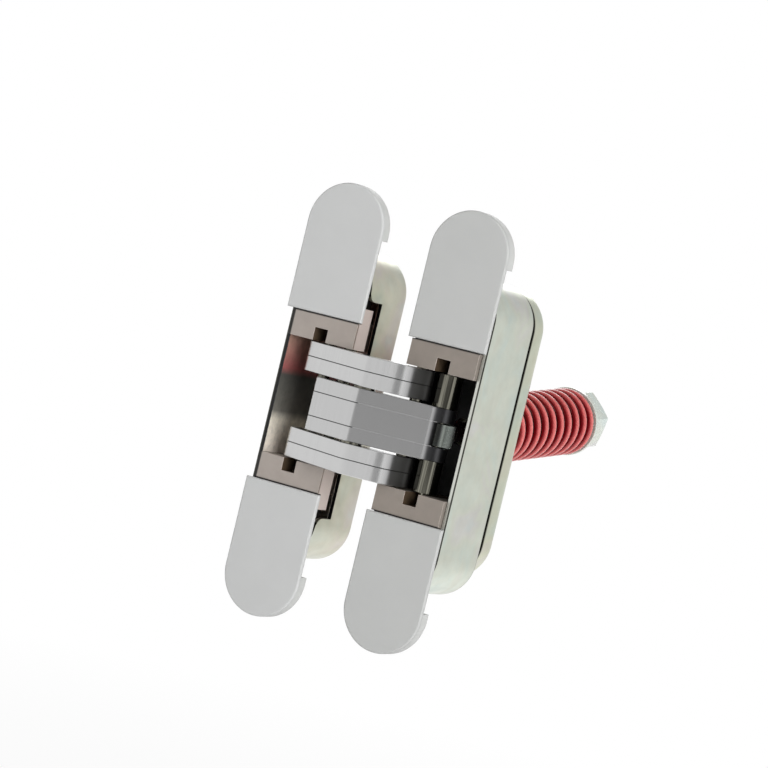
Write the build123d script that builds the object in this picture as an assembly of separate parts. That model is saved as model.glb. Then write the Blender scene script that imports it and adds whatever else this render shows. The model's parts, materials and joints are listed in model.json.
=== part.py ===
"""Concealed door hinge with a closing spring, shown open flat at 180 degrees.

Millimetres. The origin is the middle of the frame-side screw holes, on the seat face behind the plate's lugs.
X runs across the hinge from the frame side to the door side, +Y goes into the frame and the door,
+Z is up, along the plates. The door side is the frame side mirrored in the middle of the gap.
Depths below are counted from the front face of the mounting plates, and the whole is moved to the seat at the end.
"""

import math
import os

from build123d import *

# Plates and casings
plate_length = 120.0
plate_width = 23.5
plate_thickness = 1.6
lug_thickness = 3.0
lug_gap = 3.3
body_gap = 14.8
casing_lip = 0.55
plate_inset = 0.35
casing_inset = 16.8
casing_wall = 1.1
casing_edge_radius = 1.6
seam_edge_radius = 0.4
window_inset = 13.2
window_floor = 9.4
window_corner = 3.6
spring_side_room = 2.2

# Cover caps
cap_thickness = 1.0
cap_edge_radius = 0.5
cap_shadow = 0.2
cap_overhang = 0.2

# Linkage: pins in plan, and the share of the door's turn that each middle-arm pivot takes
pivot_inset = 3.45
pivot_depth = 4.5
slide_depth = 6.8
centre_depth = -4.0
arm_share = 0.605
closing_turn = 180.0

# Pins and fits
pin_diameter = 3.5
centre_pin_diameter = 4.4
press_clearance = 0.02
running_clearance = 0.05
track_clearance = 0.3
seat_clearance = 0.2
pin_hold = 3.2

# Arms, stacked from flat plates
arm_plate = 4.1
thin_plate = 3.9
eye_plate = 6.6
arm_gap = 0.65
end_gap = 0.35
arm_end_radius = 3.5
pivot_end_radius = 3.4
bend_front = -8.0
corner_front = 1.9
bend_radius = 2.2
facet_rise = 0.233
outer_bulge = 12.0
outer_bulge_radius = 5.0
middle_bulge = 15.4
middle_bulge_radius = 2.0
neck_width = 4.4
spine_behind_centre = 5.0
spacer_diameter = 6.0
end_cut = 3.25
end_cut_radius = 1.6
plate_edge = 0.14

# End blocks
nose_stand = 0.1
nose_end = 23.5
nose_trim = 0.5
tab_depth = 6.4
tab_end = 27.7
core_end = 24.0
shelf_depth = 9.0
side_relief = 2.0
relief_wall = 0.4

# Screws
screw_inset = 8.0
fixing_hole = 4.8
fixing_head = 9.0
clamp_side = 5.0
clamp_edge = 7.1
clamp_diameter = 4.0
clamp_head = 6.8
clamp_head_depth = 1.4
clamp_reach = 8.0
adjuster_side = -4.5
adjuster_diameter = 7.2
adjuster_throw = 0.8
adjuster_pin = 3.0
adjuster_reach = 6.0
adjuster_recess = 0.2

# Closing spring, its housing and its rod
housing_depth = 10.7
housing_top_inset = 0.4
housing_bottom_inset = 5.0
housing_proud = 0.1
seam_gap = 0.5
seam_inset = 1.1
housing_wall = 1.2
housing_edge_radius = 6.0
rod_diameter = 5.2
rod_lean = 6.9
eye_diameter = 8.6
eye_clearance = 0.3
sleeve_diameter = 7.0
spring_diameter = 19.2
spring_wire = 2.1
spring_pitch = 5.15
spring_steps = 24
spring_sides = 12
spring_length = 46.5
spring_seat_gap = 1.3
washer_proud = 0.2
washer_thickness = 1.2
nut_flats = 15.6
nut_turn = -15.0
nut_height = 9.2
nut_chamfer = 0.9
nut_bore_depth = 6.2
rod_end_gap = 1.0

# Places that follow from the sizes above
half_pitch = (plate_width + body_gap) / 2
casing_width = plate_width - 2 * casing_lip
pivot_side = casing_width / 2 - pivot_inset
housing_width = casing_width + 2 * housing_proud
washer_diameter = spring_diameter + 2 * washer_proud
casing_length = plate_length - 2 * casing_inset
lug_start = casing_length / 2 + lug_gap
fixing_spacing = plate_length - 2 * screw_inset
window_length = casing_length - 2 * window_inset
housing_top = casing_length / 2 - housing_top_inset
housing_bottom = casing_length / 2 - housing_bottom_inset
cap_inner_edge = nose_end + cap_shadow
plate_start = cap_inner_edge + cap_overhang
clamp_height = plate_start + clamp_edge
gap_plane = Plane.YZ.offset(half_pitch)
cap_face = -cap_thickness
inner_half = casing_width / 2 - casing_wall
middle_half = thin_plate + eye_plate / 2
outer_low = middle_half + arm_gap
outer_high = outer_low + 2 * arm_plate
block_face = outer_high + end_gap
pin_end = block_face + pin_hold
track_width = pin_diameter + 2 * track_clearance

pivot = Vector(pivot_side, pivot_depth)
slide = Vector(0, slide_depth)
centre = Vector(half_pitch, centre_depth)
far_pivot = Vector(2 * half_pitch - pivot_side, pivot_depth)
far_slide = Vector(2 * half_pitch, slide_depth)


def turned(point, about, degrees):
    """The point turned the closing way, from +X towards -Y."""
    c, s = math.cos(math.radians(degrees)), math.sin(math.radians(degrees))
    d = point - about
    return about + Vector(c * d.X + s * d.Y, c * d.Y - s * d.X)


def slide_at(turn):
    """Where the slide pin stands in its body once the door has turned this far towards closed."""
    moved = turned(centre, pivot, arm_share * turn)
    return moved + turned(slide - centre, Vector(0, 0), (1 - arm_share) * turn)


slide_end = slide_at(closing_turn)
slide_stray = max(abs(slide_at(closing_turn * i / 18).X) for i in range(19))
rod_travel = slide_end.Y - slide_depth
frame_back = slide_end.Y + arm_end_radius + track_clearance + casing_wall
door_back = frame_back + spring_side_room
housing_back = door_back + housing_depth
rod_play = rod_diameter / 2 + slide_stray + track_clearance


def front(y):
    """Drawing plane that looks from the front, X across and Z up, at depth y."""
    return Plane(origin=(0, y, 0), x_dir=(1, 0, 0), z_dir=(0, -1, 0))


def slab(sketch, near, far):
    """A front-view outline given its thickness from depth near to depth far."""
    return extrude(front(far) * sketch, amount=far - near)


def flat(sketch, low, high):
    """A plan outline given its thickness from height low to height high."""
    return extrude(Plane.XY.offset(low) * sketch, amount=high - low)


def rect(x0, x1, z0, z1):
    """A rectangle by its sides."""
    return Pos((x0 + x1) / 2, (z0 + z1) / 2) * Rectangle(x1 - x0, z1 - z0)


def slot(length, width):
    """An upright outline with round ends."""
    return SlotOverall(length, width, rotation=90)


def hole(x, z, diameter, near, far):
    """A round bar along the depth."""
    return slab(Pos(x, z) * Circle(diameter / 2), near, far)


def upright(point, diameter, low, high):
    """A round bar along the height."""
    return flat(Pos(point.X, point.Y) * Circle(diameter / 2), low, high)


def door(part):
    """The mirrored part on the door side."""
    return mirror(part, about=gap_plane)


def lower(part):
    """The mirrored part at the lower end."""
    return mirror(part, about=Plane.XY)


def casing(back, edge_radius):
    """A drawn cup with round ends, its gap-side wall cut low where the arms swing out."""
    shell = slab(slot(casing_length, casing_width), plate_thickness, back)
    rim = shell.edges().group_by(Axis.Y)[-1]
    shell = fillet(rim, edge_radius)
    pocket = slab(slot(casing_length - 2 * casing_wall, 2 * inner_half), plate_thickness, back - casing_wall)
    shell -= pocket
    half = window_length / 2
    window = rect(plate_thickness, window_floor, -half, half)
    for end in (-half, half):
        corner = rect(plate_thickness, plate_thickness + window_corner, end - window_corner, end + window_corner)
        past = end + math.copysign(window_corner, end)
        window += corner - Pos(plate_thickness + window_corner, past) * Circle(window_corner)
    return shell - extrude(Plane.YZ * window, amount=casing_width)


def rounded_end(start):
    """Front view of an upper plate or cap, from its straight inner edge to its round end."""
    return slot(plate_length, plate_width) & rect(-plate_width / 2, plate_width / 2, start, plate_length / 2)


def mounting_plate():
    """The upper mounting plate, on the casing's rim, with a thick screw lug past the casing's end."""
    half = casing_width / 2 - plate_inset
    plate = slab(rect(-half, half, plate_start, lug_start), 0, plate_thickness)
    plate += slab(rounded_end(lug_start), 0, lug_thickness)
    head_depth = (fixing_head - fixing_hole) / 2
    at = Pos(0, 0, fixing_spacing / 2) * Rot(-90, 0, 0)
    plate -= at * Cone(fixing_head / 2, fixing_hole / 2, head_depth, align=(Align.CENTER, Align.CENTER, Align.MIN))
    plate -= hole(0, fixing_spacing / 2, fixing_hole, 0, lug_thickness)
    plate -= clamp_screw(running_clearance)
    return plate - hole(adjuster_side, clamp_height, adjuster_diameter + 2 * running_clearance, 0, plate_thickness)


def clamp_screw(room=0.0):
    """A countersunk screw that holds an end block under the plate."""
    at = Pos(clamp_side, 0, clamp_height) * Rot(-90, 0, 0)
    head = Cone(clamp_head / 2 + room, clamp_diameter / 2 + room, clamp_head_depth,
                align=(Align.CENTER, Align.CENTER, Align.MIN))
    shank = Cylinder(clamp_diameter / 2 + room, clamp_reach, align=(Align.CENTER, Align.CENTER, Align.MIN))
    return at * (head + shank)


def adjuster():
    """An eccentric: a disc that turns in the plate and an off-centre pin in the end block."""
    disc = hole(adjuster_side, clamp_height, adjuster_diameter, adjuster_recess, plate_thickness)
    pin = hole(adjuster_side + adjuster_throw, clamp_height, adjuster_pin, plate_thickness, adjuster_reach)
    return disc + pin


def end_block():
    """The upper block: nose, side tab, shelf in the casing's end, and a core that holds pin and track."""
    side = inner_half - seat_clearance
    end_centre = casing_length / 2 - casing_width / 2
    outline = rect(-side, side, block_face, end_centre) + Pos(0, end_centre) * Circle(side)
    block = slab(outline, plate_thickness, shelf_depth)
    block += slab(rect(-side, side, block_face, core_end), shelf_depth, frame_back - casing_wall - seat_clearance)
    outer = casing_width / 2 - nose_trim
    block += slab(rect(-side, outer, block_face, nose_end), -nose_stand, tab_depth)
    block += slab(rect(side - side_relief, outer, block_face, tab_end), plate_thickness, tab_depth)
    relief_from = pivot_depth + pin_diameter / 2 + relief_wall
    relief_top = window_length / 2 + window_corner
    block -= slab(rect(side - side_relief, side, block_face, relief_top), relief_from, frame_back)
    block -= slab(rect(side - side_relief, side, tab_end, relief_top), plate_thickness, shelf_depth)
    track_top = pin_end + track_clearance
    arc = ThreePointArc(slide, slide_at(0.55 * closing_turn), slide_end)
    block -= flat(SlotArc(arc, track_width), block_face, track_top)
    mouth = rect(-track_width / 2, track_width / 2, -nose_stand, slide_depth)
    block -= flat(mouth, block_face, track_top)
    block -= upright(pivot, pin_diameter + 2 * press_clearance, block_face, pin_end)
    block -= clamp_screw(press_clearance)
    pin_x = adjuster_side + adjuster_throw
    return block - hole(pin_x, clamp_height, adjuster_pin + 2 * press_clearance, plate_thickness, adjuster_reach)


def cover_cap():
    """The upper clip-on cap, flat with a softened edge."""
    cap = slab(rounded_end(cap_inner_edge), cap_face, 0)
    return fillet(cap.edges().group_by(Axis.Y)[0], cap_edge_radius)


def arm_outline(bulge_side, bulge_radius, cut=0.0):
    """Plan of an arm: slide end, pivot end across the gap, bowed to the front; cut trims the slide end's corner."""
    bulge_front = bend_front + facet_rise * bulge_side
    left = slide.X - arm_end_radius
    lean = math.atan2(corner_front - bend_front, centre.X - left)
    neck = Vector(pivot.X, pivot.Y - pin_diameter / 2) - Vector(0, neck_width / 4)
    drop = neck_width * 0.6
    points = [
        (left, slide.Y), (left + cut, corner_front - cut * math.tan(lean)), (centre.X, bend_front),
        (half_pitch + bulge_side, bulge_front), (far_pivot.X + pivot_end_radius, far_pivot.Y),
        (far_pivot.X - pivot_end_radius, far_pivot.Y), (centre.X, centre.Y + spine_behind_centre),
        (neck.X + drop, neck.Y - drop * math.tan(lean) / 2), (neck.X - drop, neck.Y + drop * math.tan(lean) / 2),
        (slide.X + arm_end_radius, slide.Y),
    ]
    body = make_face(Polyline(*points, close=True))
    bulge = body.vertices().sort_by_distance((half_pitch + bulge_side, bulge_front, 0))[0]
    body = fillet(bulge, bulge_radius)
    bend = body.vertices().sort_by_distance((centre.X, bend_front, 0))[0]
    body = fillet(bend, bend_radius)
    if cut:
        corner = body.vertices().sort_by_distance((left + cut, corner_front - cut * math.tan(lean), 0))[0]
        body = fillet(corner, end_cut_radius)
    body += Pos(slide.X, slide.Y) * Circle(arm_end_radius)
    return body + Pos(far_pivot.X, far_pivot.Y) * Circle(pivot_end_radius)


def stamped(outline, low, high):
    """A flat plate whose outline edges are broken, so that stacked plates show a fine groove."""
    plate = flat(outline, low, high)
    rims = plate.edges().group_by(Axis.Z)
    return chamfer(rims[0] + rims[-1], plate_edge)


def outer_plate(low):
    """One plate of an outer arm."""
    plate = stamped(arm_outline(outer_bulge, outer_bulge_radius), low, low + arm_plate)
    plate -= upright(slide, pin_diameter + 2 * press_clearance, low, low + arm_plate)
    plate -= upright(centre, centre_pin_diameter + 2 * running_clearance, low, low + arm_plate)
    return plate - upright(far_pivot, pin_diameter + 2 * running_clearance, low, low + arm_plate)


def middle_plate(low, high):
    """One plate of the middle arm, the outer arm's plan turned end for end."""
    plate = door(stamped(arm_outline(middle_bulge, middle_bulge_radius, end_cut), low, high))
    plate -= upright(far_slide, pin_diameter + 2 * press_clearance, low, high)
    plate -= upright(centre, centre_pin_diameter + 2 * press_clearance, low, high)
    return plate - upright(pivot, pin_diameter + 2 * running_clearance, low, high)


def eye_space():
    """The room that the rod's eye needs in the middle arm's centre plate."""
    return upright(far_slide, eye_diameter + 2 * eye_clearance, -eye_plate / 2, eye_plate / 2)


rod_line = Plane(
    origin=(far_slide.X, far_slide.Y, 0), x_dir=(1, 0, 0),
    z_dir=(0, math.cos(math.radians(rod_lean)), math.sin(math.radians(rod_lean))),
)
seat_along = (housing_back - slide_depth) / math.cos(math.radians(rod_lean))
spring_from = seat_along + spring_seat_gap
washer_from = spring_from + spring_length
nut_from = washer_from + washer_thickness
rod_to = nut_from + nut_bore_depth - rod_end_gap


def along(sketch, near, far):
    """An outline square to the rod, given its length from near to far, measured from the eye."""
    return extrude(rod_line.offset(near) * sketch, amount=far - near)


def rod_passage(near, far):
    """The opening that the leaning rod needs through a wall between two depths."""
    lean = math.tan(math.radians(rod_lean))
    high = (far - slide_depth) * lean + rod_diameter / 2 + track_clearance
    low = (near - slide_depth - rod_travel) * lean - rod_diameter / 2 - track_clearance
    middle = (high + low) / 2
    opening = Pos(far_slide.X, middle) * RectangleRounded(2 * rod_play, high - low, rod_diameter / 2)
    return slab(opening, near, far)


def spring_housing():
    """The rear shell that the spring pushes against, round-ended and shorter at the bottom."""
    middle = (housing_top - housing_bottom) / 2
    length = housing_top + housing_bottom
    at = Pos(far_slide.X, middle)
    shell = slab(at * slot(length, housing_width), door_back + seam_gap, housing_back)
    shell = fillet(shell.edges().group_by(Axis.Y)[-1], housing_edge_radius)
    shell += slab(at * slot(length - 2 * seam_inset, housing_width - 2 * seam_inset), door_back, door_back + seam_gap)
    wall = housing_wall + seam_inset
    inner = slab(at * slot(length - 2 * wall, housing_width - 2 * wall), door_back, housing_back - housing_wall)
    inner = fillet(inner.edges().group_by(Axis.Y)[-1], housing_edge_radius - wall)
    return shell - inner - rod_passage(housing_back - housing_wall, housing_back)


def spring_rod():
    """The rod with its eye on the door-side slide pin, leaning a little."""
    half = eye_plate / 2 - eye_clearance
    rod = upright(far_slide, eye_diameter, -half, half)
    rod += along(Circle(rod_diameter / 2), pin_diameter / 2, rod_to)
    return rod - upright(far_slide, pin_diameter + 2 * running_clearance, -eye_plate, eye_plate)


def closing_spring():
    """A round-wire compression spring on the rod."""
    radius = (spring_diameter - spring_wire) / 2
    height = spring_length - spring_wire
    helix = Helix(spring_pitch, height, radius)
    steps = round(height / spring_pitch * spring_steps)
    path = Polyline(*[helix @ (i / steps) for i in range(steps + 1)])
    section = Plane(origin=path @ 0, z_dir=path % 0) * RegularPolygon(spring_wire / 2, spring_sides)
    coil = sweep(section, path=path, transition=Transition.RIGHT)
    return rod_line.offset(spring_from + spring_wire / 2) * coil


def tension_nut():
    """A closed hex nut on the rod's end, bevelled at its outer corners."""
    corner = nut_flats / math.sqrt(3)
    nut = along(RegularPolygon(corner, 6, rotation=nut_turn), nut_from, nut_from + nut_height)
    bevel_from = nut_height - nut_chamfer
    dome = along(Circle(corner), nut_from, nut_from + bevel_from)
    at = rod_line.offset(nut_from + bevel_from)
    dome += at * Cone(corner, corner - 2 * nut_chamfer, nut_chamfer, align=(Align.CENTER, Align.CENTER, Align.MIN))
    nut = nut & dome
    return nut - along(Circle(rod_play), nut_from, nut_from + nut_bore_depth)


def build():
    """All nodes by name."""
    nodes = {"frame_casing": casing(frame_back, casing_edge_radius)}
    door_shell = door(casing(door_back, seam_edge_radius))
    nodes["door_casing"] = door_shell - rod_passage(door_back - casing_wall, door_back)
    plate, block, cap = mounting_plate(), end_block(), cover_cap()
    pin = upright(pivot, pin_diameter, -pin_end, pin_end)
    clamps = clamp_screw() + lower(clamp_screw())
    adjusters = adjuster() + lower(adjuster())
    for side, put in (("frame", lambda part: part), ("door", door)):
        nodes[f"{side}_upper_mounting_plate"] = put(plate)
        nodes[f"{side}_lower_mounting_plate"] = put(lower(plate))
        nodes[f"{side}_upper_end_block"] = put(block)
        nodes[f"{side}_lower_end_block"] = put(lower(block))
        nodes[f"{side}_upper_cover_cap"] = put(cap)
        nodes[f"{side}_lower_cover_cap"] = put(lower(cap))
        nodes[f"{side}_pivot_pin"] = put(pin)
        nodes[f"{side}_clamp_screws"] = put(clamps)
        nodes[f"{side}_adjusting_eccentrics"] = put(adjusters)
    nodes["upper_arm_inner_plate"] = outer_plate(outer_low)
    nodes["upper_arm_outer_plate"] = outer_plate(outer_low + arm_plate)
    nodes["lower_arm_inner_plate"] = lower(nodes["upper_arm_inner_plate"])
    nodes["lower_arm_outer_plate"] = lower(nodes["upper_arm_outer_plate"])
    nodes["frame_slide_pin"] = upright(slide, pin_diameter, -pin_end, pin_end)
    nodes["middle_arm_top_plate"] = middle_plate(eye_plate / 2, middle_half)
    nodes["middle_arm_centre_plate"] = middle_plate(-eye_plate / 2, eye_plate / 2) - eye_space()
    nodes["middle_arm_bottom_plate"] = lower(nodes["middle_arm_top_plate"])
    nodes["centre_pin"] = upright(centre, centre_pin_diameter, -outer_high, outer_high)
    spacer = Pos(centre.X, centre.Y) * (Circle(spacer_diameter / 2) - Circle(centre_pin_diameter / 2 + press_clearance))
    nodes["upper_arm_spacer"] = flat(spacer, middle_half, outer_low - running_clearance)
    nodes["lower_arm_spacer"] = lower(nodes["upper_arm_spacer"])
    nodes["door_slide_pin"] = upright(far_slide, pin_diameter, -pin_end, pin_end)
    sleeve = Pos(far_slide.X, far_slide.Y) * (Circle(sleeve_diameter / 2) - Circle(pin_diameter / 2 + press_clearance))
    nodes["upper_slide_sleeve"] = flat(sleeve, middle_half, outer_high)
    nodes["lower_slide_sleeve"] = lower(nodes["upper_slide_sleeve"])
    nodes["spring_housing"] = spring_housing()
    nodes["spring_rod"] = spring_rod()
    nodes["closing_spring"] = closing_spring()
    nodes["spring_washer"] = along(Circle(washer_diameter / 2) - Circle(rod_play), washer_from, nut_from)
    nodes["tension_nut"] = tension_nut()
    seat = Pos(0, -lug_thickness, 0)
    return {name: seat * part for name, part in nodes.items()}


os.makedirs("parts", exist_ok=True)
for name, part in build().items():
    export_step(part, f"parts/{name}.step")
print("slide pin", slide_at(0), "to", slide_end, "stray", round(slide_stray, 3), "rod travel", round(rod_travel, 3))
print("casing backs", round(frame_back, 2), round(door_back, 2), "housing back", round(housing_back, 2))
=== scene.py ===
"""Looks of the concealed door hinge: finishes, closing spring, light and camera."""

import json
import logging
import math
from dataclasses import dataclass, field
from enum import Enum

import bpy
from bpy.types import Material, Node, NodeInputs, NodeOutputs, NodeSocket, NodeTree, Object
from mathutils import Matrix, Vector

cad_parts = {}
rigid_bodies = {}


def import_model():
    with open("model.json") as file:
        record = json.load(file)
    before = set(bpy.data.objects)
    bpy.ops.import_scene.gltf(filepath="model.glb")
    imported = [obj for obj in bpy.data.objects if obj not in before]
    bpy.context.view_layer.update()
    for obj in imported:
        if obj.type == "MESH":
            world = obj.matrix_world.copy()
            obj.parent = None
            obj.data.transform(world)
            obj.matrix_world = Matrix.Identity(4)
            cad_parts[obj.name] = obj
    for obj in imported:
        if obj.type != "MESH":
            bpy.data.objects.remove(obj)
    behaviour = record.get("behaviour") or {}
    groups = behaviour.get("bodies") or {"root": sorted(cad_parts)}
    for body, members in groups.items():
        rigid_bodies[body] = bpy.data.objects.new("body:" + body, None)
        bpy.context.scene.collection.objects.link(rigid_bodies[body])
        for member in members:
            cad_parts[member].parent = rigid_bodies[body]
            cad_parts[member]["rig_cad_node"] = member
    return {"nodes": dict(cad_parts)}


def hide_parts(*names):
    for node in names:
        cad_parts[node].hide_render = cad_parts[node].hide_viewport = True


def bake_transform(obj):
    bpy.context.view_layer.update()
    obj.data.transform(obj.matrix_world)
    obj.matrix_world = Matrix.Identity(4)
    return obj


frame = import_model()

log = logging.getLogger("hinge")

Triple = tuple[float, float, float]
Colour = Triple
Stops = tuple[tuple[float, Colour], ...]

MM = 0.001
DOOR_MIDDLE = 38.3  # where the door side's middle lies across the hinge, mm
SEAM = 22.43  # how deep the seam between door casing and spring housing lies, mm
SHARP = 0.05  # the fade of a mask with a hard edge, mm
FINE = 6.0  # the detail of a cloud with ragged edges
ACROSS = (1.0, 0.0, 0.0)  # from the frame side to the door side
FORWARD = (0.0, -1.0, 0.0)  # out of the frame and the door
WHITE = (1.0, 1.0, 1.0)


class Side(Enum):
    """The two halves of the hinge."""

    FRAME = "frame"
    DOOR = "door"


class End(Enum):
    """The two ends of each half."""

    UPPER = "upper"
    LOWER = "lower"


class Graph:
    """A node tree under construction."""

    def __init__(self, tree: NodeTree) -> None:
        """Keeps the tree that nodes are added to."""
        self.tree = tree

    def feed(self, socket: NodeSocket, value: object) -> None:
        """Gives an input its value.

        Args:
            socket: the input.
            value: an output to join it to, or a number, vector or colour.
        """
        if isinstance(value, NodeSocket):
            self.tree.links.new(value, socket)
        elif socket.type == "RGBA":
            socket.default_value = (*value, 1)
        else:
            socket.default_value = value

    def add(self, kind: str, inputs: dict | None = None, **settings: object) -> Node:
        """Adds one node.

        Args:
            kind: the node's type name without its ShaderNode prefix.
            inputs: values or outputs of other nodes, by input name or number.
            settings: attributes of the node.

        Returns:
            The new node.
        """
        node = self.tree.nodes.new("ShaderNode" + kind)
        for name, value in settings.items():
            setattr(node, name, value)
        for name, value in (inputs or {}).items():
            self.feed(node.inputs[name], value)
        return node

    def ramp(self, factor: NodeSocket, stops: Stops) -> NodeSocket:
        """A colour ramp over a factor.

        Args:
            factor: the socket that drives the ramp.
            stops: places from 0 to 1 with their colours.

        Returns:
            The ramp's colour.
        """
        node = self.add("ValToRGB", {0: factor})
        points = node.color_ramp.elements
        while len(points) < len(stops):
            points.new(0.5)
        for point, (place, colour) in zip(points, stops):
            point.position = place
            point.color = (*colour, 1)
        return node.outputs[0]

    def between(self, value: NodeSocket, low: float, high: float, start: float = 0.0,
                stop: float | NodeSocket = 1.0, curve: str = "LINEAR") -> NodeSocket:
        """The value, from start to stop, spread from low to high and held between them."""
        inputs = {"Value": value, "From Min": start, "From Max": stop, "To Min": low, "To Max": high}
        return self.add("MapRange", inputs, interpolation_type=curve).outputs[0]

    def math(self, operation: str, *values: NodeSocket | float) -> NodeSocket:
        """One sum of sockets or plain numbers, in order."""
        return self.add("Math", dict(enumerate(values)), operation=operation).outputs[0]

    def mix(self, factor: NodeSocket | float, first: NodeSocket | Colour, second: NodeSocket | Colour,
            blend: str = "MIX") -> NodeSocket:
        """Two colours mixed, all of the second one at a factor of 1."""
        inputs = {"Factor": factor, 6: first, 7: second}
        return self.add("Mix", inputs, data_type="RGBA", blend_type=blend).outputs[2]

    def split(self, vector: NodeSocket) -> NodeOutputs:
        """The X, Y and Z of a vector."""
        return self.add("SeparateXYZ", {0: vector}).outputs

    def spot(self) -> NodeSocket:
        """Where a point lies in its object's frame."""
        return self.add("TexCoord").outputs["Object"]

    def dot(self, first: NodeSocket, second: NodeSocket) -> NodeSocket:
        """The dot product of two vectors."""
        return self.add("VectorMath", {0: first, 1: second}, operation="DOT_PRODUCT").outputs["Value"]

    def off(self, value: NodeSocket, middle: NodeSocket) -> NodeSocket:
        """How far a value lies from a middle, to either side."""
        return self.math("ABSOLUTE", self.math("SUBTRACT", value, middle))


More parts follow.
